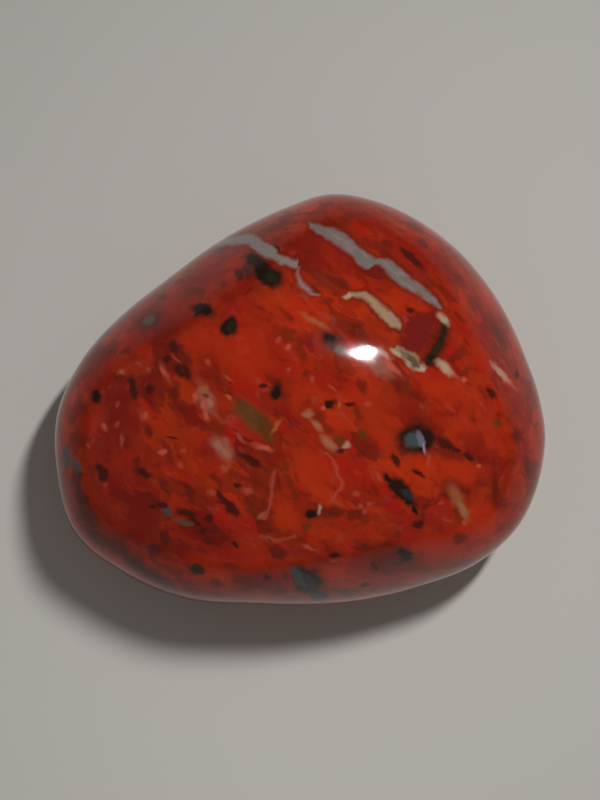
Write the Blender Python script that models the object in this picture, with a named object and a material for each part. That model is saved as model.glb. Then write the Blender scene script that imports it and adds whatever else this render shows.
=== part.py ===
"""A poppy jasper pebble: one stone, tumbled smooth and polished, lying on the flattest of its faces.

Run with: blender --background --python part.py

The stone starts as a rounded lump with a given outline. Then the broad, soft faces that tumbling leaves are
worn into it, and last a small flat spot underneath, where it rests.

Frame: metres, +Z up, the origin on the surface it stands on, under the middle of its footprint box.
X runs along the stone's length.
"""

import math

import bmesh
import bpy
import numpy as np
from mathutils import Vector

MM = 0.001

# The outline seen from above, at the girth: the reach in millimetres in each direction, in degrees from +X
# towards +Y. A smooth curve runs through these points.
OUTLINE = {
    0: 17.05,
    12: 16.27,
    30: 15.70,
    50: 15.38,
    72: 15.07,
    82: 14.75,
    94: 13.72,
    108: 12.92,
    125: 12.56,
    140: 12.87,
    155: 14.08,
    170: 15.80,
    183: 17.22,
    196: 17.96,
    211: 18.55,
    224: 17.62,
    240: 16.34,
    256: 15.00,
    270: 14.64,
    286: 14.92,
    302: 15.75,
    318: 17.18,
    332: 17.95,
    350: 17.70,
}

# The rounded lump: how far it reaches above and below its girth, and how boxy its sections are (2 is an ellipse)
CROWN_HEIGHT = 11.6 * MM
KEEL_DEPTH = 9.6 * MM
SECTION_POWER = 2.25

# The soft faces: the way each one faces, as degrees round from +X and degrees up from level, and how far the
# lump is worn back there, in millimetres
WORN_FACES = (
    (250, 83, 0.50),
    (75, 58, 0.60),
    (165, 52, 0.45),
    (340, 50, 0.50),
    (238, 46, 0.40),
    (20, 34, 0.25),
    (125, 30, 0.30),
    (285, 30, 0.25),
    (75, -89, 1.10),
    (200, -50, 0.55),
    (320, -46, 0.45),
    (95, -48, 0.60),
    (15, -38, 0.30),
)
EDGE_SHARPNESS = 16  # a higher power leaves a crisper turn from one worn face to the next

FLAT_SPOT_DEPTH = 0.07 * MM  # how deep the resting spot is ground into the underside
FACETS_ROUND = 5  # subdivisions of the icosphere that the stone is shaped from: 5 gives 5120 triangles

JASPER_RED = (0.36, 0.028, 0.010, 1.0)
POLISH_ROUGHNESS = 0.12

FULL_TURN = 360.0  # degrees


def clear_scene():
    for thing in list(bpy.data.objects):
        bpy.data.objects.remove(thing)


def outline_reach(angle):
    """The reach in metres at each angle in radians: a cubic through the outline's points, closed on itself."""
    knots = np.array(list(OUTLINE), dtype=float)
    reach = np.array(list(OUTLINE.values())) * MM
    before, after = np.roll(knots, 1), np.roll(knots, -1)
    before[0] -= FULL_TURN
    after[-1] += FULL_TURN
    slope = (np.roll(reach, -1) - np.roll(reach, 1)) / (after - before)

    turn = np.degrees(angle) % FULL_TURN
    at = np.searchsorted(knots, turn, side="right") - 1
    following = (at + 1) % len(knots)
    step = after[at] - knots[at]
    t = (turn - knots[at]) / step
    return (
        (1 + 2 * t) * (1 - t) ** 2 * reach[at]
        + t * (1 - t) ** 2 * step * slope[at]
        + t * t * (3 - 2 * t) * reach[following]
        - t * t * (1 - t) * step * slope[following]
    )


def rounded_lump(directions):
    """The lump's surface in each direction from its middle, which lies at the girth."""
    flat = np.hypot(directions[:, 0], directions[:, 1])
    reach = outline_reach(np.arctan2(directions[:, 1], directions[:, 0]))
    height = np.where(directions[:, 2] > 0, CROWN_HEIGHT, KEEL_DEPTH)
    power = SECTION_POWER
    gauge = ((flat / reach) ** power + (np.abs(directions[:, 2]) / height) ** power) ** (1 / power)
    return directions / gauge[:, None]


def facing(turn, tilt):
    """The unit vector of a worn face, from its two angles in degrees."""
    a, e = math.radians(turn), math.radians(tilt)
    return np.array((math.cos(a) * math.cos(e), math.sin(a) * math.cos(e), math.sin(e)))


def wear_planes(points):
    """Each worn face as its direction and its distance from the lump's middle."""
    planes = []
    for turn, tilt, depth in WORN_FACES:
        direction = facing(turn, tilt)
        planes.append((direction, (points @ direction).max() - depth * MM))
    return planes


def worn(points, planes):
    """The points drawn in towards the middle, so that each worn face is nearly flat and all turns stay soft."""
    total = np.ones(len(points))
    for direction, distance in planes:
        total += np.clip(points @ direction / distance, 0, None) ** EDGE_SHARPNESS
    return points / total[:, None] ** (1 / EDGE_SHARPNESS)


def shaped(sphere_points):
    """The stone's surface for points spread over a unit sphere, before the flat spot is ground."""
    stretch = np.array((max(OUTLINE.values()) * MM, min(OUTLINE.values()) * MM, CROWN_HEIGHT))
    lump = rounded_lump(sphere_points * stretch)
    planes = wear_planes(lump)
    stone = worn(lump, planes)
    # The wear draws the girth in a little, so each side is let out again until the outline is as stated.
    around = np.arctan2(stone[:, 1], stone[:, 0])
    girth = rounded_lump(np.stack((np.cos(around), np.sin(around), np.zeros(len(stone))), axis=1))
    drawn_in = np.linalg.norm(worn(girth, planes), axis=1) / np.linalg.norm(girth, axis=1)
    return stone / np.stack((drawn_in, drawn_in, np.ones(len(stone))), axis=1)


def grind_flat_spot(mesh):
    """Cuts the underside level just above its lowest point, and closes the cut with one flat face."""
    level = min(v.co.z for v in mesh.verts) + FLAT_SPOT_DEPTH
    cut = bmesh.ops.bisect_plane(
        mesh,
        geom=mesh.verts[:] + mesh.edges[:] + mesh.faces[:],
        plane_co=(0, 0, level),
        plane_no=(0, 0, -1),
        clear_outer=True,
    )
    rim = [piece for piece in cut["geom_cut"] if isinstance(piece, bmesh.types.BMEdge)]
    bmesh.ops.holes_fill(mesh, edges=rim, sides=0)


def stand_at_origin(mesh):
    """Moves the stone so that the origin is under the middle of its box, on the resting spot."""
    points = np.array([v.co for v in mesh.verts])
    middle = (points.min(axis=0) + points.max(axis=0)) / 2
    bmesh.ops.translate(mesh, verts=mesh.verts, vec=Vector((-middle[0], -middle[1], -points[:, 2].min())))


def polished_jasper():
    material = bpy.data.materials.new("jasper")
    material.use_nodes = True
    shader = material.node_tree.nodes["Principled BSDF"]
    shader.inputs["Base Color"].default_value = JASPER_RED
    shader.inputs["Roughness"].default_value = POLISH_ROUGHNESS
    shader.inputs["Metallic"].default_value = 0.0
    return material


def make_stone(collection):
    mesh = bmesh.new()
    bmesh.ops.create_icosphere(mesh, subdivisions=FACETS_ROUND, radius=1.0)
    for vert, place in zip(mesh.verts, shaped(np.array([v.co for v in mesh.verts]))):
        vert.co = place
    grind_flat_spot(mesh)
    stand_at_origin(mesh)
    bmesh.ops.recalc_face_normals(mesh, faces=mesh.faces)

    data = bpy.data.meshes.new("stone")
    mesh.to_mesh(data)
    mesh.free()
    data.shade_smooth()
    data.materials.append(polished_jasper())
    stone = bpy.data.objects.new("stone", data)
    collection.objects.link(stone)
    return stone


def main():
    clear_scene()
    collection = bpy.data.collections.new("poppy_jasper")
    bpy.context.scene.collection.children.link(collection)
    make_stone(collection)


main()
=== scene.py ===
"""The looks of a poppy jasper pebble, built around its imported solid.

The stone's surface is worked out from the same outline and worn faces as the solid, in finer steps. Its
rock is one procedural material in three dimensions, so the chips and veins run on over the edge of the dome
and down the sides. The scene is in metres, and the lists of the stone's marks are in millimetres.
"""

import math
import random
from typing import NamedTuple

import bmesh
import bpy
import numpy as np
from mathutils import Matrix, Vector
from mathutils.bvhtree import BVHTree

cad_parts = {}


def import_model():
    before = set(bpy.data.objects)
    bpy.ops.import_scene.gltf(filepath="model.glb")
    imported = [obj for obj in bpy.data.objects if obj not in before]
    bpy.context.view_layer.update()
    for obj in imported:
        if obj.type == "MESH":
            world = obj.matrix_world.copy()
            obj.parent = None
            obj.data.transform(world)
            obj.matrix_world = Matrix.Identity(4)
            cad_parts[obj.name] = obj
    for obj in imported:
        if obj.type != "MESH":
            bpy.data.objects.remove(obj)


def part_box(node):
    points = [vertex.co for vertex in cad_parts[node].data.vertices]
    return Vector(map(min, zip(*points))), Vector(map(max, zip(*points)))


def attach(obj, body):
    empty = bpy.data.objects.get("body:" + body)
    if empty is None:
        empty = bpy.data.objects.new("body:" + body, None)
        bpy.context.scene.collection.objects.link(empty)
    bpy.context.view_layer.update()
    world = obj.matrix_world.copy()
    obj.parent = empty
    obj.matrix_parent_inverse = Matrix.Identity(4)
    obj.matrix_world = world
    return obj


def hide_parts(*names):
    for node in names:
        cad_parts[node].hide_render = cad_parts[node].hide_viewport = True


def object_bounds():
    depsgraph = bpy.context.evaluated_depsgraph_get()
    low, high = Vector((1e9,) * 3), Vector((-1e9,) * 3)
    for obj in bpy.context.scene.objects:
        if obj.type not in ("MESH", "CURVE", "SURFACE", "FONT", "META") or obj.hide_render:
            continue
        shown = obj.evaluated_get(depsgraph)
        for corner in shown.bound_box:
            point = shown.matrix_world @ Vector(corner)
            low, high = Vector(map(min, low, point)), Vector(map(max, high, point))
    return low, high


MM = 0.001
FULL_TURN = 360.0  # degrees
HALF_TURN = 180  # degrees: a mark that is turned by this looks the same
SEED = 7

# The form of the stone, as in the solid's own source. The outline is the reach in millimetres at the girth,
# in each direction in degrees from +X towards +Y.
OUTLINE = {
    0: 17.05, 12: 16.27, 30: 15.70, 50: 15.38, 72: 15.07, 82: 14.75, 94: 13.72, 108: 12.92,
    125: 12.56, 140: 12.87, 155: 14.08, 170: 15.80, 183: 17.22, 196: 17.96, 211: 18.55, 224: 17.62,
    240: 16.34, 256: 15.00, 270: 14.64, 286: 14.92, 302: 15.75, 318: 17.18, 332: 17.95, 350: 17.70,
}
CROWN_HEIGHT = 11.6 * MM
KEEL_DEPTH = 9.6 * MM
SECTION_POWER = 2.25

# Each worn face: degrees round from +X, degrees up from level, and the millimetres that it is worn back
WORN_FACES = (
    (250, 83, 0.50), (75, 58, 0.60), (165, 52, 0.45), (340, 50, 0.50), (238, 46, 0.40), (20, 34, 0.25),
    (125, 30, 0.30), (285, 30, 0.25), (75, -89, 1.10), (200, -50, 0.55), (320, -46, 0.45), (95, -48, 0.60),
    (15, -38, 0.30),
)
EDGE_SHARPNESS = 16
FLAT_SPOT_DEPTH = 0.07 * MM
FINE_FACETS = 7  # subdivisions of the icosphere: 7 gives 81,920 triangles

# What the solid's surface leaves out: the slight waves that a polished pebble keeps
WAVE_HEIGHT = 0.008 * MM
WAVE_LENGTHS = (5.2 * MM, 3.4 * MM, 2.3 * MM)
WAVES_EACH = 4  # how many waves there are of each length

# The camera looks straight down. Its frame is this high at the level of the stone's girth.
FRAME_HEIGHT = 56.65 * MM
SENSOR = 36.0  # millimetres, along the frame's height
LENS = 180.0

# The lamp: where the stone mirrors it and where it aims, in millimetres as seen from above. Then its
# distance and its oval's length and width in metres, the oval's turn and the beam's spread in degrees, and
# its power.
HIGHLIGHT = (4.6, 3.35)
LAMP_AIM = (8.0, -10.0)
LAMP_DISTANCE = 0.45
LAMP_LONG = 0.100
LAMP_WIDE = 0.021
LAMP_ROLL = 55
LAMP_SPREAD = 32
LAMP_WATTS = 0.039
ROOM_LIGHT = 0.155
ROOM_COLOUR = (1.0, 0.97, 0.93, 1.0)

# The floor reaches this many metres each way, and is dull.
FLOOR_REACH = 2.0
FLOOR_ROUGHNESS = 0.7

# The polish: its roughness drifts between these two, in patches of this many millimetres.
POLISH_ROUGHNESS = (0.07, 0.12)
POLISH_PATCHES = 1.5
POLISH_IOR = 1.42

# How bright white paper in the lamp's light looks, and what the polish adds by mirroring the dim room
LIGHT_LEVEL = 0.62
MIRRORED = 0.005


def paint(red, green, blue):
    """A material's own colour, from the colour, 0 to 255, that it shows on a screen in this light."""
    def linear(part):
        share = part / 255
        shown = share / 12.92 if share <= 0.04045 else ((share + 0.055) / 1.055) ** 2.4
        return max(shown - MIRRORED, 0.001) / LIGHT_LEVEL
    return (linear(red), linear(green), linear(blue), 1.0)


PAINTS = {
    # the brightest red, used as painted light along the bottom and lower right
    "flame red painted light": paint(174, 44, 13),
    "ember": paint(158, 42, 14),
    "orange": paint(148, 42, 18),
    "brick": paint(128, 36, 18),
    "scarlet": paint(158, 28, 14),
    "crimson": paint(122, 24, 16),
    "blood": paint(104, 22, 12),
    "umber": paint(86, 27, 11),
    # dark brown, used as painted shade along the lower-left rim
    "chocolate and painted shade": paint(66, 24, 13),
    "brown": paint(66, 22, 8),
    "rust brown": paint(104, 34, 12),
    "maroon": paint(100, 26, 24),
    "plum": paint(74, 30, 34),
    "black": paint(28, 22, 13),
    "soot": paint(44, 32, 19),
    "charcoal": paint(44, 42, 48),
    "bottle green": paint(34, 36, 16),
    "olive": paint(72, 58, 32),
    "moss": paint(82, 46, 20),
    "drab": paint(84, 68, 52),
    "slate": paint(62, 68, 70),
    "lilac": paint(92, 90, 104),
    "lead": paint(88, 80, 72),
    "grey": paint(118, 110, 102),
    "dim grey": paint(100, 96, 88),
    "mauve": paint(122, 102, 104),
    "cream": paint(142, 120, 88),
    "ivory": paint(160, 140, 116),
    "shell": paint(160, 124, 108),
    "fawn": paint(142, 94, 72),
    "ash": paint(140, 110, 98),
    "tan": paint(142, 80, 48),
    "dusty rose": paint(134, 80, 68),
    "faint pink": paint(154, 64, 48),
    "pink": paint(150, 62, 46),
    "rose": paint(172, 76, 58),
    "pale": paint(142, 128, 136),
    "floor grey": paint(170, 167, 162),
}


class Mark(NamedTuple):
    """A chip, fleck or patch: where it shows from above, how long and wide it is, and how it is turned."""
    x: float
    y: float
    long: float
    wide: float
    turn: float = 0.0


class Layer(NamedTuple):
    """Marks of one kind: how soft their edges are, how strongly they cover, how strongly a dark halo shows
    round them, and the marks under each paint."""
    edge: float
    cover: float
    halo: float
    marks: dict


TURN_STEP = 15  # degrees: the marks' turns are rounded to this
MARK_DEPTH = 0.4  # how far down a mark reaches from its middle, for the sum of its length and width
THIN = 0.62  # millimetres: marks narrower than this keep closer to their stated form
HALO_REACH = 1.7  # how far out a dark halo shows, where 1 is the mark's rim

# Broad soft patches, in which the red of the rock turns lighter or darker. The brightest, along the bottom
# and lower right, are painted light
TONES = Layer(0.55, 0.6, 0, {
    "ember": (
        Mark(-6.3, 4.4, 4.2, 2.2, -20),
        Mark(-4.3, 3.4, 4.6, 2.2, -25),
        Mark(6.4, 7.1, 2.2, 1.3, -35),
        Mark(3.9, 8.3, 1.8, 0.9, -45),
        Mark(-0.4, 0.6, 2.6, 1.4, -80),
        Mark(12.2, -2.4, 6.4, 1.3, -27),
        Mark(8.6, -5.6, 3.4, 2.0, -40),
        Mark(1.0, -5.0, 2.8, 2.2, -60),
        Mark(-1.0, -8.0, 2.6, 1.7, -70),
        Mark(10.4, 0.6, 4.5, 1.4, -30),
        Mark(6.0, -3.0, 3.0, 1.4, -60),
    ),
    # Painted light: the brightest red, in patches along the bottom and lower right, which turn away from
    # the lamp
    "flame red painted light": (
        Mark(11.2, -5.0, 5.0, 1.5, -15),
        Mark(12.6, -8.4, 4.4, 2.6, -40),
        Mark(9.6, -10.4, 4.6, 2.2, -20),
        Mark(-1.6, -11.6, 6.0, 2.0, -15),
        Mark(3.2, -12.2, 3.0, 1.8, 0),
        Mark(-6.4, -11.8, 3.0, 1.6, -30),
    ),
    "orange": (
        Mark(5.6, -0.6, 2.8, 2.6, 0),
        Mark(-3.0, 4.3, 1.9, 1.3, -40),
        Mark(6.2, 4.6, 1.6, 0.9, -30),
    ),
    "scarlet": (
        Mark(12.8, 2.6, 2.0, 0.9, -80),
        Mark(-8.9, 6.3, 1.6, 1.3, -60),
        Mark(-5.6, -8.4, 0.9, 0.7, 0),
        Mark(3.0, -4.6, 1.6, 1.2, -50),
        Mark(7.6, -10.0, 2.6, 1.2, -20),
    ),
    "crimson": (
        Mark(-5.2, 7.5, 2.4, 0.9, -20),
        Mark(6.0, 12.3, 2.4, 1.1, -20),
        Mark(-1.2, -4.0, 1.2, 0.7, 0),
        Mark(3.9, -11.6, 2.4, 0.9, -75),
        Mark(-11.4, -8.4, 3.2, 2.2, -60),
        Mark(-13.0, -6.4, 3.2, 2.0, -50),
        Mark(-12.4, -0.4, 3.6, 1.8, -60),
        Mark(-14.2, 1.6, 3.2, 1.8, 60),
        Mark(-2.6, 10.4, 1.8, 1.0, -40),
        Mark(-6.8, 8.8, 4.0, 2.4, 30),
        Mark(2.4, 11.0, 5.0, 3.0, -35),
        Mark(7.4, 10.6, 4.0, 2.4, -40),
    ),
    "blood": (
        Mark(-9.6, 5.6, 6.0, 3.6, 35),
        Mark(-12.8, -1.4, 4.4, 2.4, 80),
        Mark(12.7, -3.5, 3.1, 1.6, -30),
        Mark(-7.0, 8.7, 2.4, 1.3, 0),
        Mark(0.6, 10.6, 3.4, 1.8, -40),
        Mark(-6.6, 1.8, 1.4, 0.8, 0),
        Mark(10.0, 10.0, 1.8, 1.5, -40),
        Mark(-3.6, 8.2, 2.2, 1.2, -30),
    ),
    "umber": (
        Mark(-15.9, -1.0, 1.9, 1.5, 70),
        Mark(-15.5, -2.6, 1.6, 1.4, 0),
        Mark(-13.4, 3.4, 2.4, 1.1, 60),
        Mark(-3.7, -13.0, 2.0, 1.5, 0),
        Mark(5.2, -10.6, 2.8, 1.2, -15),
        Mark(6.3, -11.5, 4.0, 2.4, -10),
        Mark(3.1, 12.9, 1.8, 0.9, 0),
        Mark(8.3, 12.1, 1.4, 1.0, -45),
        Mark(11.2, 3.2, 1.9, 0.6, 20),
        Mark(-7.7, 7.5, 2.2, 0.7, 0),
        Mark(1.6, 8.8, 3.4, 1.0, -38),
        Mark(6.0, 10.8, 2.6, 0.8, -38),
    ),
})

# Smaller spots with blurred rims, among them a band of painted shade along the lower-left rim and a patch
# of painted reflection beside the highlight
SPOTS = Layer(0.5, 0.8, 0, {
    "rust brown": (
        Mark(-0.85, 4.55, 1.0, 0.85, -45),
        Mark(0.1, 3.3, 1.4, 0.5, -60),
        Mark(1.35, -1.15, 1.0, 0.85, 0),
        Mark(-6.0, -1.9, 1.1, 1.0, 0),
        Mark(6.9, -9.5, 0.9, 0.65, -60),
        Mark(-3.35, -7.9, 1.25, 0.6, -40),
        Mark(-1.0, -3.0, 1.05, 0.38, -30),
        Mark(-1.05, -4.7, 0.9, 0.55, -70),
        Mark(-0.8, -5.65, 1.2, 0.45, -60),
        Mark(-0.35, -6.7, 1.1, 0.35, -68),
        Mark(8.85, -12.0, 1.1, 0.7, 0),
        Mark(7.6, 0.8, 1.0, 0.9, 0),
        Mark(12.3, 6.8, 1.2, 0.95, -60),
        Mark(2.0, -2.0, 1.1, 0.6, -50),
    ),
    "umber": (
        Mark(2.7, 8.4, 2.0, 0.6, -30),
        Mark(-12.3, 3.5, 0.85, 0.65, 0),
        Mark(-8.85, 0.45, 1.25, 0.9, 80),
        Mark(-10.75, -2.15, 1.05, 0.5, -70),
        Mark(-11.6, -4.3, 0.7, 0.65, 0),
        Mark(-9.55, -9.75, 1.6, 0.75, 85),
        Mark(-6.45, -10.0, 0.75, 0.6, 0),
        Mark(-6.2, -9.2, 0.9, 0.7, 0),
        Mark(-5.95, -13.0, 1.1, 0.8, 0),
        Mark(-1.55, -10.75, 1.4, 0.9, -30),
        Mark(-1.05, -12.55, 1.0, 0.5, 85),
        Mark(-1.4, -13.5, 1.1, 0.8, 0),
        Mark(-3.6, -13.3, 1.1, 0.8, 0),
        Mark(3.55, -13.6, 1.4, 0.7, 0),
        Mark(13.8, -6.4, 2.3, 0.5, -85),
        Mark(16.1, -4.8, 1.7, 0.55, -70),
        Mark(15.3, -2.55, 1.0, 0.95, 0),
        Mark(11.3, -9.9, 1.0, 0.85, 0),
        Mark(2.3, -8.05, 2.1, 0.85, 0),
        Mark(3.9, -8.15, 1.4, 0.7, 0),
        Mark(14.1, 4.55, 2.5, 0.45, -64),
        Mark(8.7, 11.1, 1.0, 0.6, -45),
        Mark(6.15, 11.1, 0.85, 0.75, 0),
        Mark(4.4, 1.0, 1.1, 0.6, -60),
        Mark(-8.4, 3.0, 1.9, 1.1, -50),
    ),
    # Painted shade along the lower-left rim: partly the rock's own dark brown patches, partly shade on the
    # side turned away from the lamp
    "chocolate and painted shade": (
        Mark(-15.8, -5.6, 1.8, 0.9, -80),
        Mark(-15.5, -6.9, 2.2, 1.1, -75),
        Mark(-15.0, -8.4, 2.4, 1.2, -65),
        Mark(-14.2, -9.8, 2.4, 1.4, -50),
        Mark(-12.8, -10.5, 2.4, 1.3, -40),
        Mark(-11.7, -11.5, 2.4, 1.3, -35),
        Mark(-10.4, -12.4, 2.2, 1.2, -32),
        Mark(-9.2, -13.3, 1.8, 0.9, -25),
    ),
    "maroon": (
        Mark(5.6, 8.85, 0.95, 0.75, -20),
        Mark(3.85, 11.15, 0.6, 0.45, 0),
        Mark(-7.2, 7.7, 1.1, 0.4, -8),
        Mark(-8.35, 8.4, 0.7, 0.5, 0),
        Mark(6.8, -6.8, 0.65, 0.5, 0),
        Mark(9.6, 2.9, 1.2, 0.9, -30),
    ),
    "plum": (
        Mark(-10.35, -10.55, 1.3, 0.85, 0),
        Mark(-9.75, 7.3, 1.4, 0.45, -8),
        Mark(6.9, -11.5, 1.0, 0.7, 0),
        Mark(-10.7, 5.65, 2.0, 1.7, 0),
    ),
    "dusty rose": (
        # Painted reflection: the first patch is the soft glow of a dim light's reflection below and right
        # of the highlight. The other two are the rock's own paler spots.
        Mark(5.7, 2.3, 1.9, 1.0, -30),
        Mark(-6.6, 0.1, 1.9, 1.0, -65),
        Mark(-5.5, -3.4, 1.9, 1.2, -42),
    ),
    "olive": (
        Mark(-3.45, -1.2, 2.8, 1.5, -50),
    ),
    "slate": (
        Mark(-16.6, -4.0, 1.6, 1.1, 80),
        Mark(-15.9, -4.6, 1.4, 0.8, -45),
    ),
    "moss": (
        Mark(-2.55, -1.55, 1.8, 0.8, -50),
        Mark(-2.3, -2.4, 1.3, 0.9, -60),
        Mark(4.4, -2.4, 0.75, 0.5, 80),
        Mark(14.0, -1.6, 0.85, 0.5, -10),
        Mark(2.75, -2.9, 0.9, 0.6, 0),
        Mark(0.5, -9.0, 0.6, 0.45, 0),
        Mark(-6.75, 0.3, 0.45, 0.4, 0),
    ),
})

# Chips with clear rims
CHIPS = Layer(0.3, 0.96, 0.45, {
    "maroon": (
        Mark(8.8, 5.5, 1.8, 1.15, 0),
        Mark(8.35, 4.75, 1.9, 1.6, -15),
        Mark(8.05, 3.95, 1.5, 1.2, -15),
    ),
    "plum": (
        Mark(-3.7, 9.2, 1.3, 0.75, -60),
        Mark(2.15, 4.25, 1.5, 1.0, -45),
    ),
    "brown": (
        Mark(7.9, 10.05, 2.1, 0.45, -38),
        Mark(13.55, 0.55, 1.0, 0.5, -40),
        Mark(15.35, 1.85, 0.6, 0.4, 80),
        Mark(-8.9, 3.75, 1.1, 0.7, -60),
        Mark(-9.45, 2.85, 0.5, 0.5, 0),
        Mark(-8.3, 2.0, 1.5, 0.8, -48),
        Mark(-11.85, 0.9, 1.8, 0.5, -80),
        Mark(-10.65, 0.75, 0.65, 0.6, 0),
        Mark(-14.0, -5.15, 1.4, 0.65, -60),
        Mark(-11.0, -5.2, 1.15, 0.42, -28),
        Mark(8.4, -8.8, 0.85, 0.6, 0),
        Mark(-3.55, -4.25, 1.7, 0.45, -24),
        Mark(-2.6, 1.0, 0.5, 0.3, 0),
        Mark(-2.4, -12.55, 0.7, 0.35, 85),
        Mark(5.25, -11.8, 1.2, 0.35, -62),
        Mark(-10.45, -7.6, 0.55, 0.3, 0),
        Mark(-9.75, -7.45, 0.75, 0.4, -10),
        Mark(-8.05, -8.0, 1.3, 0.5, -18),
        Mark(-7.45, -8.55, 1.1, 0.35, -45),
        Mark(-6.9, -9.3, 0.5, 0.35, -30),
        Mark(10.25, -3.1, 1.5, 0.55, -35),
        Mark(11.05, -3.55, 0.8, 0.35, -15),
        Mark(11.95, -4.05, 1.0, 0.3, -28),
        Mark(6.75, -4.25, 1.0, 0.4, -65),
        Mark(8.4, -5.2, 1.05, 0.32, -32),
        Mark(7.8, 6.35, 0.5, 0.4, 0),
        Mark(-6.45, -8.4, 0.6, 0.55, 0),
        Mark(-4.6, -10.25, 0.6, 0.3, -40),
        Mark(-4.4, -6.05, 0.55, 0.28, -15),
        Mark(-9.0, -2.7, 0.9, 0.18, -22),
        Mark(2.85, -3.6, 0.65, 0.35, 0),
        Mark(3.55, -0.3, 0.7, 0.3, 0),
        Mark(-4.4, 9.0, 1.2, 0.7, -65),
        Mark(2.5, -11.0, 0.7, 0.4, 0),
        Mark(4.55, -13.1, 0.7, 0.5, 0),
        Mark(-1.6, 0.65, 1.15, 0.8, 80),
        Mark(-5.5, -6.85, 1.3, 0.35, -50),
        Mark(-4.9, -7.6, 1.6, 0.6, -50),
    ),
    "black": (
        Mark(-7.0, 6.45, 2.1, 0.95, -8),
        Mark(-4.95, 5.25, 1.4, 1.0, 75),
        Mark(-3.2, 9.9, 2.3, 1.0, -45),
        Mark(-2.2, 8.85, 2.3, 1.35, -50),
        Mark(-2.8, 9.4, 1.7, 1.0, -45),
        Mark(8.3, -2.72, 2.5, 2.0, -5),
        Mark(7.15, -6.35, 1.9, 0.95, -42),
        Mark(7.75, -7.1, 1.3, 0.7, -60),
        Mark(6.35, -5.65, 1.1, 0.35, -38),
        Mark(8.15, -7.8, 0.8, 0.28, -75),
        Mark(2.2, -0.27, 0.8, 0.66, 0),
        Mark(-1.55, 0.6, 0.95, 0.65, 80),
        Mark(2.1, 4.35, 1.0, 0.62, -50),
        Mark(-14.45, 0.25, 0.95, 0.75, -50),
        Mark(0.85, -8.05, 0.95, 0.65, 0),
        Mark(0.55, -12.9, 3.8, 1.8, -60),
        Mark(1.3, -13.9, 2.0, 1.3, -60),
        Mark(-1.65, 10.75, 0.75, 0.35, -65),
        Mark(7.45, -11.0, 1.8, 0.85, -50),
    ),
})

# The other rock inside some of the dark chips, and lone pieces of it
INSETS = Layer(0.35, 0.92, 0, {
    "bottle green": (
        Mark(-7.3, -12.0, 1.15, 0.85, 0),
        Mark(-1.95, 8.65, 1.0, 0.6, -50),
        Mark(-4.9, 5.2, 0.8, 0.5, 75),
        Mark(0.95, -13.6, 0.9, 0.6, -60),
    ),
    "slate": (
        Mark(8.02, -2.85, 1.2, 1.1, 0),
        Mark(-0.05, -12.6, 2.7, 0.75, -60),
        Mark(-9.35, -7.95, 0.8, 0.5, -50),
    ),
    "charcoal": (
        Mark(7.6, -6.7, 1.2, 0.42, -50),
        Mark(0.6, -12.8, 2.2, 0.6, -60),
    ),
    "lilac": (
        Mark(8.5, -2.75, 1.15, 0.5, -70),
    ),
    "lead": (
        Mark(2.85, 3.55, 0.85, 0.65, -40),
    ),
    "drab": (
        Mark(-10.7, 5.65, 1.0, 0.85, 0),
        Mark(-8.25, -8.65, 1.3, 0.38, -22),
        Mark(-9.75, 7.75, 0.8, 0.6, 0),
    ),
})

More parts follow.
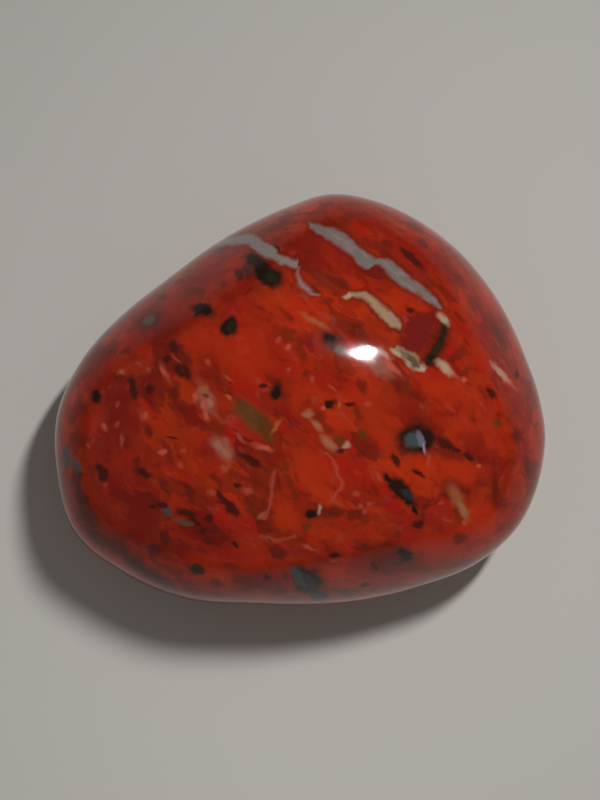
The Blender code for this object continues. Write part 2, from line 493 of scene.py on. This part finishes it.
# Small light flecks and dashes
FLECKS = Layer(0.6, 0.78, 0, {
    "pink": (
        Mark(-12.75, 2.0, 0.7, 0.4, 10),
        Mark(-11.5, 2.55, 0.4, 0.34, 0),
        Mark(-10.75, 2.15, 0.6, 0.35, -45),
        Mark(-9.55, 1.9, 1.8, 0.36, -57),
        Mark(-8.8, 2.95, 0.95, 0.18, -38),
        Mark(-12.85, -0.3, 0.36, 0.36, 0),
        Mark(-11.15, -1.2, 0.75, 0.4, -55),
        Mark(-13.9, -1.95, 0.6, 0.44, -50),
        Mark(-12.95, -1.75, 0.38, 0.36, 0),
        Mark(-12.6, -2.85, 0.9, 0.3, 85),
        Mark(-15.0, -3.25, 0.45, 0.3, -25),
        Mark(-9.8, -3.7, 0.7, 0.32, 18),
        Mark(-8.25, -3.55, 0.42, 0.4, 0),
        Mark(-8.45, -4.65, 0.5, 0.33, -60),
        Mark(-6.5, 2.65, 0.5, 0.32, -40),
        Mark(-5.1, 1.55, 0.9, 0.18, -40),
        Mark(-13.75, -6.0, 0.42, 0.35, 0),
        Mark(-5.3, -4.8, 0.6, 0.55, 0),
        Mark(-3.7, -6.45, 0.65, 0.5, -30),
        Mark(-6.3, -6.55, 0.55, 0.42, 0),
        Mark(-4.3, -2.65, 1.05, 0.3, -42),
        Mark(-2.8, -3.3, 1.5, 0.42, -22),
        Mark(2.3, 0.85, 0.8, 0.16, -38),
        Mark(3.95, -6.65, 0.48, 0.35, 0),
        Mark(4.3, -7.5, 0.35, 0.3, 0),
        Mark(4.95, -7.35, 0.4, 0.28, 0),
        Mark(4.6, -7.85, 0.42, 0.3, 90),
        Mark(10.45, -8.5, 1.0, 0.2, -12),
        Mark(10.0, -7.3, 0.5, 0.28, 0),
        Mark(9.1, -4.25, 0.8, 0.22, 88),
        Mark(5.65, -5.5, 0.65, 0.28, -65),
        Mark(4.8, -0.3, 0.5, 0.4, 0),
        Mark(0.85, 1.5, 0.4, 0.3, 0),
        Mark(-0.85, 2.2, 0.38, 0.3, 0),
        Mark(-1.5, 4.3, 0.4, 0.3, 80),
        Mark(11.0, 1.7, 0.9, 0.3, -38),
        Mark(-16.0, 0.3, 1.3, 0.5, 75),
        Mark(2.4, -11.4, 0.5, 0.35, 0),
    ),
    "rose": (
        Mark(-12.6, 1.95, 0.4, 0.34, 0),
        Mark(-13.85, -1.85, 0.45, 0.36, -50),
        Mark(-10.9, -1.1, 0.5, 0.36, -55),
        Mark(-9.75, 2.1, 0.9, 0.26, -57),
        Mark(-9.7, -3.65, 0.55, 0.28, 18),
        Mark(-2.5, -3.4, 0.9, 0.3, -22),
        Mark(-0.85, 3.75, 0.42, 0.38, 0),
        Mark(-7.4, 0.2, 0.6, 0.42, 80),
        Mark(-5.1, 0.2, 0.55, 0.26, -50),
        Mark(11.6, -8.7, 0.42, 0.36, 0),
        Mark(12.65, -4.65, 0.34, 0.34, 0),
        Mark(1.7, -0.55, 0.3, 0.28, 0),
        Mark(14.5, 1.6, 2.7, 0.38, -50),
        Mark(-6.65, -1.1, 0.8, 0.3, -68),
        Mark(-6.85, -0.4, 0.55, 0.33, -70),
        Mark(-6.5, -0.05, 0.42, 0.4, 0),
        Mark(6.6, 2.3, 1.6, 0.38, -43),
        Mark(11.6, 1.4, 0.38, 0.34, 0),
        Mark(0.65, -10.45, 0.8, 0.28, -32),
    ),
    "tan": (
        Mark(-6.9, 0.75, 0.7, 0.36, 25),
        Mark(-1.7, -1.9, 1.2, 0.25, 60),
        Mark(2.75, -0.35, 0.55, 0.2, 85),
        Mark(11.05, -6.85, 2.2, 0.85, -60),
        Mark(11.7, -8.0, 1.6, 0.6, -60),
        Mark(1.0, 5.6, 2.0, 0.35, -35),
        Mark(-2.7, -8.2, 0.8, 0.3, 45),
    ),
    "fawn": (
        Mark(0.55, -1.0, 0.75, 0.5, 0),
        Mark(1.15, -1.8, 1.0, 0.4, -50),
        Mark(2.05, -3.1, 1.25, 0.6, -45),
        Mark(-5.75, -3.25, 0.8, 0.45, -42),
        Mark(-5.2, -3.75, 0.7, 0.4, -42),
        Mark(-6.35, -0.25, 0.5, 0.35, -70),
        Mark(11.5, -7.75, 1.5, 0.4, -60),
    ),
    "ivory": (
        Mark(10.15, 5.7, 1.0, 0.45, -38),
        Mark(10.25, 2.3, 1.3, 0.6, -48),
        Mark(8.55, 2.15, 0.6, 0.35, -20),
        Mark(6.75, 3.35, 0.8, 0.28, -40),
        Mark(3.35, 7.3, 0.6, 0.35, 20),
    ),
    "shell": (
        Mark(3.3, -3.2, 0.48, 0.4, 0),
        Mark(1.4, -7.75, 0.65, 0.28, -85),
        Mark(3.4, 7.5, 0.45, 0.2, 80),
        Mark(6.0, 3.25, 1.0, 0.4, -45),
        Mark(14.2, 1.95, 1.9, 0.42, -50),
    ),
    "pale": (
        Mark(8.8, -3.4, 0.75, 0.2, -70),
    ),
})


class Vein(NamedTuple):
    """A sheet of other rock that stands in the stone: its paints inside and at its edges, how strong the
    dark border round it is, how far down it reaches, and the points that it passes as seen from above, each
    with its width."""
    inside: str
    rim: str
    border: float
    depth: float
    path: tuple


VEINS = (
    Vein("dim grey", "mauve", 0.55, 5.0, (
        (0.5, 12.46, 0.15), (0.92, 12.11, 0.42), (1.42, 11.83, 0.6), (2.12, 11.54, 0.8),
        (2.83, 11.12, 1.0), (3.33, 10.73, 0.85), (3.97, 10.16, 0.85), (4.5, 9.65, 1.05),
        (4.9, 9.45, 0.9), (5.45, 9.59, 0.5), (5.95, 9.38, 0.64), (6.51, 8.89, 0.92), (7.01, 8.43, 0.9),
        (7.65, 7.93, 0.7), (8.21, 7.65, 0.55), (8.78, 7.22, 0.55), (9.35, 6.73, 0.45), (9.77, 6.23, 0.2),
    )),
    Vein("grey", "mauve", 0.45, 9.0, (
        (-7.4, 10.3, 0.5), (-6.4, 10.9, 0.6), (-5.3, 11.2, 0.7), (-4.3, 11.27, 0.75),
        (-3.54, 11.27, 0.8), (-2.97, 10.84, 0.95), (-2.41, 10.45, 1.0), (-1.91, 10.2, 0.85),
        (-1.49, 9.81, 0.6), (-0.99, 9.63, 0.5), (-0.5, 9.39, 0.55), (-0.07, 9.4, 0.6),
    )),
    Vein("mauve", "dusty rose", 0.4, 2.5, (
        (-0.07, 9.3, 0.2), (-0.14, 8.5, 0.25), (0.14, 7.97, 0.4), (0.5, 7.6, 0.4), (0.92, 7.3, 0.3),
        (1.42, 7.15, 0.12),
    )),
    Vein("ash", "cream", 0.6, 2.6, (
        (3.26, 7.29, 0.28), (3.54, 7.22, 0.36), (4.04, 7.26, 0.34), (4.46, 7.22, 0.44),
        (4.81, 6.94, 0.52), (5.24, 6.51, 0.6), (5.66, 6.09, 0.68), (6.09, 5.7, 0.72),
        (6.51, 5.31, 0.7), (7.0, 5.0, 0.25),
    )),
    Vein("drab", "ivory", 0.3, 2.0, (
        (6.5, 3.6, 0.25), (6.95, 3.25, 0.5), (7.45, 2.9, 0.75), (7.85, 2.55, 0.8),
        (8.3, 2.2, 0.6), (8.65, 2.0, 0.15),
    )),
    Vein("soot", "black", 0.6, 2.6, (
        (10.02, 5.6, 0.3), (9.93, 4.96, 0.5), (9.8, 4.39, 0.6), (9.55, 3.82, 0.64), (9.25, 3.26, 0.66),
        (8.9, 2.76, 0.7), (8.65, 2.35, 0.4),
    )),
    Vein("faint pink", "faint pink", 0.0, 2.0, (
        (-1.7, -4.75, 0.08), (-1.9, -5.75, 0.14), (-2.05, -7.1, 0.12), (-2.2, -7.8, 0.12),
        (-2.6, -8.3, 0.2),
    )),
    Vein("faint pink", "faint pink", 0.0, 2.0, (
        (-2.85, -9.45, 0.14), (-2.3, -9.4, 0.2), (-1.75, -9.7, 0.22), (-1.15, -9.55, 0.16),
        (-0.2, -9.35, 0.16),
    )),
    Vein("faint pink", "faint pink", 0.0, 2.0, (
        (1.6, -3.5, 0.1), (2.15, -3.9, 0.12), (2.4, -4.4, 0.14), (2.5, -5.05, 0.14), (2.95, -5.6, 0.16),
        (2.75, -6.15, 0.2), (1.9, -7.1, 0.14),
    )),
)
VEIN_SOFTNESS = 0.38  # millimetres over which a vein's edge fades
VEIN_RIM = 0.46  # millimetres: how wide the rim's paint is
VEIN_SHADE = 0.3  # millimetres: how far the dark border reaches outside a vein
VEIN_SWAY = 8.0  # millimetres: more than any vein strays from the straight line between its ends
VEIN_TIP = 0.015  # the share of a vein's length in which each end comes to a point
VEIN_STREAKS = 0.5  # millimetres across
VEIN_STREAK_STRETCH = 2.5

# The rock's fabric: its chips and patches are drawn out along this direction, seen from above
FABRIC_TURN = -42
FABRIC_STRETCH = 1.8

# The sizes of what makes up the red rock, in millimetres
CLOUD_SIZE = 2.2
CLAST_SIZE = 1.5
SEAM_LENGTH = 1.8
WISP_SIZE = 0.85

# What is scattered over the sides and the underside: how far apart it lies and how far above the girth it
# reaches, in millimetres, and how much more its veins are drawn out
SIDE_VEIN_SPACING = 7.0
SIDE_VEIN_LENGTH = 6.0
SIDE_CHIP_SPACING = 2.3
SIDE_FLECK_SPACING = 0.95
SIDE_REACH = 1.8
SIDE_VEIN_STRETCH = 2.2

# How far things stray from their stated form: the size of the bends and how far they push, in millimetres
LOOSE_BENDS = (1.6, 2.2)
ROUGH_BENDS = (0.9, 0.9)
CRISP_BENDS = (0.6, 0.4)
GRAIN_BENDS = (1.6, 1.6)
WISP_BENDS = (0.8, 1.0)


def outline_reach(angle):
    """The reach in metres at each angle in radians: a closed cubic curve through the outline's points."""
    knots = np.array(list(OUTLINE), dtype=float)
    reach = np.array(list(OUTLINE.values())) * MM
    before, after = np.roll(knots, 1), np.roll(knots, -1)
    before[0] -= FULL_TURN
    after[-1] += FULL_TURN
    slope = (np.roll(reach, -1) - np.roll(reach, 1)) / (after - before)

    turn = np.degrees(angle) % FULL_TURN
    at = np.searchsorted(knots, turn, side="right") - 1
    following = (at + 1) % len(knots)
    step = after[at] - knots[at]
    t = (turn - knots[at]) / step
    return (
        (1 + 2 * t) * (1 - t) ** 2 * reach[at]
        + t * (1 - t) ** 2 * step * slope[at]
        + t * t * (3 - 2 * t) * reach[following]
        - t * t * (1 - t) * step * slope[following]
    )


def rounded_lump(directions):
    """The lump's surface in each direction from its middle, which lies at the girth."""
    flat = np.hypot(directions[:, 0], directions[:, 1])
    reach = outline_reach(np.arctan2(directions[:, 1], directions[:, 0]))
    height = np.where(directions[:, 2] > 0, CROWN_HEIGHT, KEEL_DEPTH)
    power = SECTION_POWER
    gauge = ((flat / reach) ** power + (np.abs(directions[:, 2]) / height) ** power) ** (1 / power)
    return directions / gauge[:, None]


def facing(turn, tilt):
    """The unit vector of a worn face, from its two angles in degrees."""
    a, e = math.radians(turn), math.radians(tilt)
    return np.array((math.cos(a) * math.cos(e), math.sin(a) * math.cos(e), math.sin(e)))


def wear_planes(points):
    """Each worn face as its direction and its distance from the lump's middle."""
    planes = []
    for turn, tilt, depth in WORN_FACES:
        direction = facing(turn, tilt)
        planes.append((direction, (points @ direction).max() - depth * MM))
    return planes


def worn(points, planes):
    """The points drawn in towards the middle: each worn face is nearly flat, and all turns stay soft."""
    total = np.ones(len(points))
    for direction, distance in planes:
        total += np.clip(points @ direction / distance, 0, None) ** EDGE_SHARPNESS
    return points / total[:, None] ** (1 / EDGE_SHARPNESS)


def shaped(sphere_points):
    """The stone's surface for points spread over a unit sphere, before the flat spot is ground."""
    stretch = np.array((max(OUTLINE.values()) * MM, min(OUTLINE.values()) * MM, CROWN_HEIGHT))
    lump = rounded_lump(sphere_points * stretch)
    planes = wear_planes(lump)
    stone = worn(lump, planes)
    # The wear draws the girth in a little, so each side is let out again to the stated outline.
    around = np.arctan2(stone[:, 1], stone[:, 0])
    girth = rounded_lump(np.stack((np.cos(around), np.sin(around), np.zeros(len(stone))), axis=1))
    drawn_in = np.linalg.norm(worn(girth, planes), axis=1) / np.linalg.norm(girth, axis=1)
    return stone / np.stack((drawn_in, drawn_in, np.ones(len(stone))), axis=1)


def polish_waves(points, draw):
    """How far each point is moved out or in by the slight waves that hand and drum polishing leave."""
    height = np.zeros(len(points))
    for length in WAVE_LENGTHS:
        for _ in range(WAVES_EACH):
            direction = np.array([draw.gauss(0, 1) for _ in range(3)])
            direction /= np.linalg.norm(direction)
            phase = draw.uniform(0, 2 * math.pi)
            wave = np.sin(points @ direction * 2 * math.pi / length + phase)
            height += wave * length / max(WAVE_LENGTHS)
    return height / np.abs(height).max() * WAVE_HEIGHT


def make_stone(draw):
    """The fine stone, fitted to the solid's box."""
    low, high = (np.array(corner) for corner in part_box("stone"))
    mesh = bmesh.new()
    bmesh.ops.create_icosphere(mesh, subdivisions=FINE_FACETS, radius=1.0)
    directions = np.array([vert.co for vert in mesh.verts])
    points = shaped(directions)
    points += directions * polish_waves(points, draw)[:, None]
    points[:, 2] = np.maximum(points[:, 2], points[:, 2].min() + FLAT_SPOT_DEPTH)
    span = points.max(axis=0) - points.min(axis=0)
    points = low + (points - points.min(axis=0)) / span * (high - low)
    for vert, place in zip(mesh.verts, points):
        vert.co = place
    data = bpy.data.meshes.new("jasper_stone")
    mesh.to_mesh(data)
    mesh.free()
    data.shade_smooth()
    stone = bpy.data.objects.new("jasper_stone", data)
    bpy.context.scene.collection.objects.link(stone)
    return stone


def surface_tree(stone):
    """The stone's surface for casting rays at."""
    points = [vert.co for vert in stone.data.vertices]
    faces = [tuple(face.vertices) for face in stone.data.polygons]
    return BVHTree.FromPolygons(points, faces)


def make_camera(floor_level):
    """A long lens, straight above the stone's middle, with the photograph's frame at the girth."""
    lens = bpy.data.cameras.new("camera")
    lens.lens = LENS
    lens.sensor_width = SENSOR
    lens.sensor_fit = "AUTO"
    lens.clip_start = 0.01
    lens.clip_end = 10.0
    camera = bpy.data.objects.new("camera", lens)
    girth = floor_level + KEEL_DEPTH
    camera.location = (0, 0, girth + FRAME_HEIGHT * LENS / SENSOR)
    bpy.context.scene.collection.objects.link(camera)
    bpy.context.scene.camera = camera
    return camera, girth


class Seen:
    """Finds what a place in the camera's view lands on."""

    def __init__(self, camera, girth, surface):
        self.eye = camera.location.copy()
        self.girth = girth
        self.surface = surface

    def hit(self, x, y):
        """The surface point and normal that show at x, y, in millimetres at the girth's height."""
        aim = Vector((x * MM, y * MM, self.girth)) - self.eye
        place, normal, _, _ = self.surface.ray_cast(self.eye, aim.normalized())
        return place, normal

    def place(self, x, y):
        """The same point in millimetres. Off the stone, it is the point on the girth's level."""
        place, _ = self.hit(x, y)
        if place is None:
            place = Vector((x * MM, y * MM, self.girth))
        return place / MM


class Rock:
    """Builds the rock's shader from small steps. A step takes values or the outputs of other steps."""

    def __init__(self, tree, seen):
        self.tree = tree
        self.seen = seen
        self.turned_places = {}

    def step(self, kind, inputs=None, output=0, **settings):
        """Adds one shader node and gives its output."""
        made = self.tree.nodes.new("ShaderNode" + kind)
        for name, value in settings.items():
            setattr(made, name, value)
        for key, value in (inputs or {}).items():
            if isinstance(value, bpy.types.NodeSocket):
                self.tree.links.new(value, made.inputs[key])
            else:
                made.inputs[key].default_value = value
        return made.outputs[output]

    def math(self, operation, first, second=0.0):
        return self.step("Math", {0: first, 1: second}, operation=operation)

    def vector(self, operation, first, second):
        return self.step("VectorMath", {0: first, 1: second}, operation=operation)

    def fade(self, value, start, end, low=0.0, high=1.0):
        """Eases from low to high as the value goes from start to end."""
        return self.step(
            "MapRange",
            {"Value": value, "From Min": start, "From Max": end, "To Min": low, "To Max": high},
            interpolation_type="SMOOTHSTEP",
        )

    def mix(self, share, under, over):
        """The colour under, covered by the colour over to the given share."""
        # A Mix node's colours are its inputs 6 and 7 and its output 2.
        return self.step("Mix", {0: share, 6: under, 7: over}, output=2, data_type="RGBA")

    def mix_within(self, share, limit, under, over):
        """The same, only as far as a second share lets it show."""
        return self.mix(self.math("MULTIPLY", share, limit), under, over)

    def turned(self, place, turn, stretch):
        """The place in axes turned about Z by so many degrees, and shrunk by stretch along the first."""
        return self.step(
            "Mapping",
            {"Vector": place, "Rotation": (0, 0, math.radians(turn)), "Scale": (stretch, 1, 1)},
            vector_type="TEXTURE",
        )

    def noise(self, place, size, detail=2.0, output=0):
        """Soft noise whose blotches are about size millimetres across."""
        return self.step("TexNoise", {"Vector": place, "Scale": 1 / size, "Detail": detail}, output=output)

    def strayed(self, place, size, amount, detail=1.0):
        """The place pushed about at random, by up to about half of amount in each direction."""
        push = self.vector("SUBTRACT", self.noise(place, size, detail, output="Color"), (0.5, 0.5, 0.5))
        push = self.step("VectorMath", {0: push, "Scale": amount}, operation="SCALE")
        return self.vector("ADD", place, push)

    def ramp(self, value, stops):
        """Colours along a value: pairs of a position and a paint's name."""
        made = self.tree.nodes.new("ShaderNodeValToRGB")
        elements = made.color_ramp.elements
        while len(elements) < len(stops):
            elements.new(0.5)
        for element, (position, name) in zip(elements, stops):
            element.position = position
            element.color = PAINTS[name]
        self.tree.links.new(value, made.inputs[0])
        return made.outputs[0]

    def curve(self, value, points, handles="AUTO"):
        """A curve through points whose x and y run from 0 to 1: smooth, or straight with VECTOR handles."""
        made = self.tree.nodes.new("ShaderNodeFloatCurve")
        made.mapping.extend = "HORIZONTAL"
        line = made.mapping.curves[0]
        while len(line.points) < len(points):
            line.points.new(0.5, 0.5)
        for point, (x, y) in zip(line.points, points):
            point.location = (x, y)
            point.handle_type = handles
        made.mapping.update()
        self.tree.links.new(value, made.inputs["Value"])
        return made.outputs[0]

    def facing_along(self, place, turn):
        """The place turned so that a mark with this turn lies along X. Each is made once, then shared."""
        key = (place.node.name, turn)
        if key not in self.turned_places:
            self.turned_places[key] = self.step(
                "VectorRotate", {"Vector": place, "Angle": -math.radians(turn)}, rotation_type="Z_AXIS"
            )
        return self.turned_places[key]

    def nearest(self, place, thin_place, marks):
        """How far out a point is in the nearest of the marks: 0 in its middle and 1 on its rim. The marks
        are ellipsoids that stand in the rock under where they show from above."""
        found = None
        for mark in marks:
            strayed = thin_place if mark.wide < THIN else place
            turn = round(mark.turn / TURN_STEP) * TURN_STEP % HALF_TURN
            middle = Matrix.Rotation(-math.radians(turn), 3, "Z") @ self.seen.place(mark.x, mark.y)
            reach = Vector((mark.long / 2, mark.wide / 2, MARK_DEPTH * (mark.long + mark.wide)))
            shrink = Vector(1 / part for part in reach)
            inside = self.step(
                "VectorMath",
                {0: self.facing_along(strayed, turn), 1: shrink, 2: -middle * shrink},
                operation="MULTIPLY_ADD",
            )
            out = self.step("VectorMath", {0: inside}, output="Value", operation="LENGTH")
            found = out if found is None else self.math("MINIMUM", found, out)
        return found

    def lay(self, colour, place, thin_place, layer):
        """The colour with a layer of marks laid over it."""
        for name, marks in layer.marks.items():
            out = self.nearest(place, thin_place, marks)
            if layer.halo:
                colour = self.mix(self.fade(out, HALO_REACH, 1, 0, layer.halo), colour, PAINTS["umber"])
            share = self.fade(out, 1 + layer.edge, 1 - layer.edge, 0, layer.cover)
            colour = self.mix(share, colour, PAINTS[name])
        return colour

    def vein(self, colour, place, streaks, vein):
        """The colour with one vein laid over it. The streaks bring the rim's paint inside it."""
        points = [Vector((x, y)) for x, y, _ in vein.path]
        along = points[-1] - points[0]
        turn = math.atan2(along.y, along.x)
        across = Vector((-math.sin(turn), math.cos(turn)))
        run = [(p - points[0]).dot(along) / along.length_squared for p in points]
        sway = [(p - points[0]).dot(across) / VEIN_SWAY + 0.5 for p in points]
        half = [(width + VEIN_SOFTNESS) / 2 / VEIN_SWAY for _, _, width in vein.path]
        middle = self.seen.place(*vein.path[len(vein.path) // 2][:2])
        start = Vector((points[0].x, points[0].y, middle.z))
        inside = self.step(
            "Mapping",
            {
                "Vector": place,
                "Location": start,
                "Rotation": (0, 0, turn),
                "Scale": (along.length, VEIN_SWAY, vein.depth),
            },
            vector_type="TEXTURE",
        )
        along_it, across_it, down_it = self.step("SeparateXYZ", {0: inside}).node.outputs

        # How far a point is from the vein's middle line, and how far the vein reaches there
        centre = self.curve(along_it, list(zip(run, sway)))
        off = self.math("ABSOLUTE", self.math("SUBTRACT", self.math("ADD", across_it, 0.5), centre))
        widest = zip([VEIN_TIP, *run[1:-1], 1 - VEIN_TIP], half)
        reach = self.curve(along_it, [(0, 0), *widest, (1, 0)], "VECTOR")
        taper = self.fade(self.math("ABSOLUTE", down_it), 1.0, 0.3)
        reach = self.math("MULTIPLY", reach, taper)
        margin = self.math("SUBTRACT", reach, off)

        # The dark border lies only beside the vein, not past its ends
        share = self.fade(margin, 0, VEIN_SOFTNESS / VEIN_SWAY)
        shade = self.fade(margin, -VEIN_SHADE / VEIN_SWAY, 0, 0, vein.border)
        present = self.fade(reach, 0, VEIN_SOFTNESS / 2 / VEIN_SWAY)
        colour = self.mix_within(shade, present, colour, PAINTS["umber"])
        rim = self.math("MAXIMUM", self.fade(margin, VEIN_RIM / VEIN_SWAY, 0), streaks)
        return self.mix(share, colour, self.mix(rim, PAINTS[vein.inside], PAINTS[vein.rim]))


def red_ground(rock, place):
    """The red rock itself: clasts of several reds in soft clouds, with small dark and light wisps."""
    grain = rock.turned(place, FABRIC_TURN, FABRIC_STRETCH)
    wavy = rock.strayed(grain, *GRAIN_BENDS, detail=2.0)

    clouds = rock.noise(wavy, CLOUD_SIZE)
    colour = rock.ramp(clouds, (
        (0.33, "blood"),
        (0.43, "crimson"),
        (0.52, "brick"),
        (0.62, "orange"),
        (0.75, "ember"),
    ))

    clasts = rock.step("TexVoronoi", {"Vector": wavy, "Scale": 1 / CLAST_SIZE}, output="Color")
    tone = rock.step("SeparateColor", {0: clasts})
    clast_colour = rock.ramp(tone, (
        (0.05, "umber"),
        (0.20, "crimson"),
        (0.40, "brick"),
        (0.65, "orange"),
        (0.80, "scarlet"),
        (0.95, "ember"),
    ))
    colour = rock.mix(0.5, colour, clast_colour)

    # Dark seams between the clasts, broken into lengths
    between = rock.fade(clasts.node.outputs["Distance"], 0.62, 0.85, 0, 0.5)
    broken = rock.fade(rock.noise(grain, SEAM_LENGTH, 1.0), 0.46, 0.60)
    colour = rock.mix_within(between, broken, colour, PAINTS["umber"])

    wisps = rock.noise(rock.strayed(grain, *WISP_BENDS), WISP_SIZE)
    colour = rock.mix(rock.fade(wisps, 0.53, 0.72, 0, 0.65), colour, PAINTS["umber"])
    colour = rock.mix(rock.fade(wisps, 0.42, 0.26, 0, 0.4), colour, PAINTS["pink"])
    return colour


def sides_and_underside(rock, colour, place, wander):
    """The colour with veins, chips and flecks like the crown's, laid over what isn't seen from above."""
    height = rock.step("SeparateXYZ", {0: place}, output="Z")
    hidden = rock.fade(height, KEEL_DEPTH / MM + SIDE_REACH, KEEL_DEPTH / MM)
    grain = rock.turned(wander, FABRIC_TURN, FABRIC_STRETCH)

    # Veins lie where slow noise crosses its middle value, and other noise breaks them into lengths
    level = rock.noise(rock.turned(wander, FABRIC_TURN, SIDE_VEIN_STRETCH), SIDE_VEIN_SPACING, 0.0)
    off = rock.math("ABSOLUTE", rock.math("SUBTRACT", level, 0.5))
    lengths = rock.fade(rock.noise(place, SIDE_VEIN_LENGTH, 0.0), 0.48, 0.56)
    lengths = rock.math("MULTIPLY", lengths, hidden)
    colour = rock.mix_within(rock.fade(off, 0.024, 0.012, 0, 0.5), lengths, colour, PAINTS["umber"])
    colour = rock.mix_within(rock.fade(off, 0.014, 0.007), lengths, colour, PAINTS["mauve"])

    # Each cell of the pattern has one chip at most. Its first tone sets the size, and its second the paint
    chips = rock.step(
        "TexVoronoi", {"Vector": grain, "Scale": 1 / SIDE_CHIP_SPACING, "Randomness": 0.9}, output="Color"
    )
    tones = rock.step("SeparateColor", {0: chips})
    size = rock.fade(tones, 0.35, 1.0, -0.1, 0.36)
    shade = rock.ramp(tones.node.outputs[1], (
        (0.0, "black"),
        (0.34, "brown"),
        (0.52, "bottle green"),
        (0.62, "slate"),
        (0.70, "plum"),
        (0.80, "olive"),
        (0.87, "drab"),
        (0.93, "tan"),
    ))
    shade.node.color_ramp.interpolation = "CONSTANT"
    inner = rock.math("SUBTRACT", size, chips.node.outputs["Distance"])
    colour = rock.mix_within(rock.fade(inner, -0.16, 0.0, 0, 0.5), hidden, colour, PAINTS["umber"])
    colour = rock.mix_within(rock.fade(inner, -0.02, 0.05), hidden, colour, shade)

    # Flecks, in the same way
    flecks = rock.step("TexVoronoi", {"Vector": grain, "Scale": 1 / SIDE_FLECK_SPACING}, output="Color")
    size = rock.fade(rock.step("SeparateColor", {0: flecks}), 0.62, 1.0, -0.1, 0.32)
    inner = rock.math("SUBTRACT", size, flecks.node.outputs["Distance"])
    return rock.mix_within(rock.fade(inner, -0.05, 0.1, 0, 0.8), hidden, colour, PAINTS["pink"])


def build_material(seen):
    """The polished jasper."""
    material = bpy.data.materials.new("jasper")
    material.use_nodes = True
    tree = material.node_tree
    shader = tree.nodes["Principled BSDF"]
    rock = Rock(tree, seen)

    place = rock.step("TexCoord", output="Object")
    place = rock.step("VectorMath", {0: place, "Scale": 1 / MM}, operation="SCALE")
    loose = rock.strayed(place, *LOOSE_BENDS, detail=2.0)
    rough = rock.strayed(place, *ROUGH_BENDS)
    crisp = rock.strayed(place, *CRISP_BENDS)

    colour = red_ground(rock, place)
    colour = rock.lay(colour, loose, loose, TONES)
    colour = rock.lay(colour, rough, crisp, SPOTS)
    colour = rock.lay(colour, rough, crisp, CHIPS)
    colour = rock.lay(colour, crisp, crisp, INSETS)
    streaks = rock.noise(rock.turned(place, FABRIC_TURN, VEIN_STREAK_STRETCH), VEIN_STREAKS)
    streaks = rock.fade(streaks, 0.45, 0.65, 0, 0.8)
    for vein in VEINS:
        colour = rock.vein(colour, crisp, streaks, vein)
    colour = rock.lay(colour, crisp, crisp, FLECKS)
    colour = sides_and_underside(rock, colour, place, rough)
    tree.links.new(colour, shader.inputs["Base Color"])

    gloss = rock.fade(rock.noise(place, POLISH_PATCHES, 3.0), 0.3, 0.7, *POLISH_ROUGHNESS)
    tree.links.new(gloss, shader.inputs["Roughness"])
    shader.inputs["IOR"].default_value = POLISH_IOR
    return material


def matte(name, colour, roughness):
    material = bpy.data.materials.new(name)
    material.use_nodes = True
    shader = material.node_tree.nodes["Principled BSDF"]
    shader.inputs["Base Color"].default_value = colour
    shader.inputs["Roughness"].default_value = roughness
    return material


def make_floor(level):
    """The plain pale surface that the stone lies on."""
    data = bpy.data.meshes.new("floor")
    mesh = bmesh.new()
    bmesh.ops.create_grid(mesh, x_segments=1, y_segments=1, size=FLOOR_REACH)
    mesh.to_mesh(data)
    mesh.free()
    data.materials.append(matte("pale_floor", PAINTS["floor grey"], FLOOR_ROUGHNESS))
    floor = bpy.data.objects.new("floor", data)
    floor.location = (0, 0, level)
    bpy.context.scene.collection.objects.link(floor)


def light_scene(seen):
    """One softbox with a narrow beam, set where the highlight mirrors it, and a dim even room."""
    place, normal = seen.hit(*HIGHLIGHT)
    view = (place - seen.eye).normalized()
    mirrored = view.reflect(normal)
    lamp = bpy.data.lights.new("softbox", "AREA")
    lamp.shape = "ELLIPSE"
    lamp.size = LAMP_LONG
    lamp.size_y = LAMP_WIDE
    lamp.spread = math.radians(LAMP_SPREAD)
    lamp.energy = LAMP_WATTS
    box = bpy.data.objects.new("softbox", lamp)
    box.location = place + mirrored * LAMP_DISTANCE
    aim = Vector((LAMP_AIM[0] * MM, LAMP_AIM[1] * MM, seen.girth)) - box.location
    # The lamp shines along its own -Z, and its oval is longest along its own X.
    across = Matrix.Rotation(math.radians(LAMP_ROLL), 3, "Z") @ Vector((1, 0, 0))
    back = -aim.normalized()
    side = (across - back * across.dot(back)).normalized()
    box.matrix_world = Matrix.LocRotScale(
        box.location, Matrix((side, back.cross(side), back)).transposed(), Vector((1, 1, 1))
    )
    bpy.context.scene.collection.objects.link(box)

    world = bpy.data.worlds.new("room")
    world.use_nodes = True
    background = world.node_tree.nodes["Background"]
    background.inputs["Color"].default_value = ROOM_COLOUR
    background.inputs["Strength"].default_value = ROOM_LIGHT
    bpy.context.scene.world = world


def main():
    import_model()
    cad_low, cad_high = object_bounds()
    draw = random.Random(SEED)
    stone = make_stone(draw)
    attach(stone, "root")
    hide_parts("stone")

    camera, girth = make_camera(cad_low.z)
    seen = Seen(camera, girth, surface_tree(stone))
    stone.data.materials.append(build_material(seen))
    make_floor(cad_low.z)
    light_scene(seen)
    bpy.context.scene.view_settings.view_transform = "Standard"


main()
